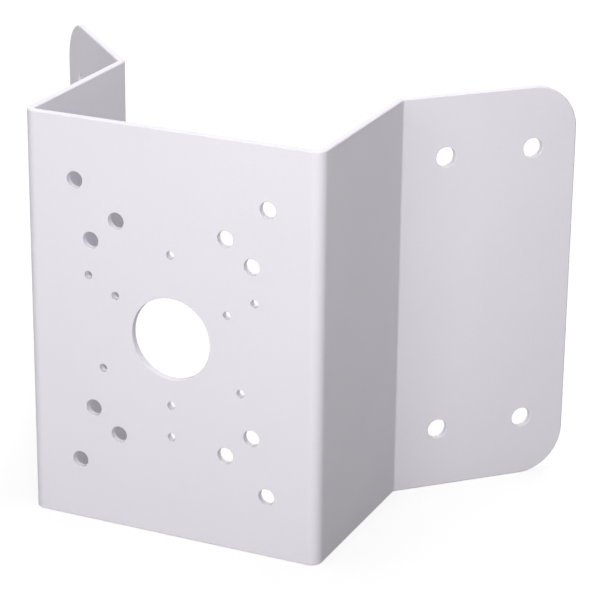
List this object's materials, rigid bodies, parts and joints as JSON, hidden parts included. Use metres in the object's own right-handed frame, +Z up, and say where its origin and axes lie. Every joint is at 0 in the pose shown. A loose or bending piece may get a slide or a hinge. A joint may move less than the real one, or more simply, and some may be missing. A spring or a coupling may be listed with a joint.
{
  "type": "corner mount adapter",
  "caption": "Folded steel sheet that carries a camera or its arm on the outside corner of a building: drilled front plate, two webs and two wall flanges at 45 degrees.",
  "frame": {"origin": "centre of the cable hole, on the front plate's outer face", "axes": "+X to the right as seen from in front, +Y back towards the wall, +Z up"},
  "size_m": [0.2766, 0.1568, 0.2],
  "materials": {
    "white_coated_steel": "smooth matt white powder coat"
  },
  "bodies": {
    "root": {"corner_adapter": "white_coated_steel"}
  },
  "joints": []
}
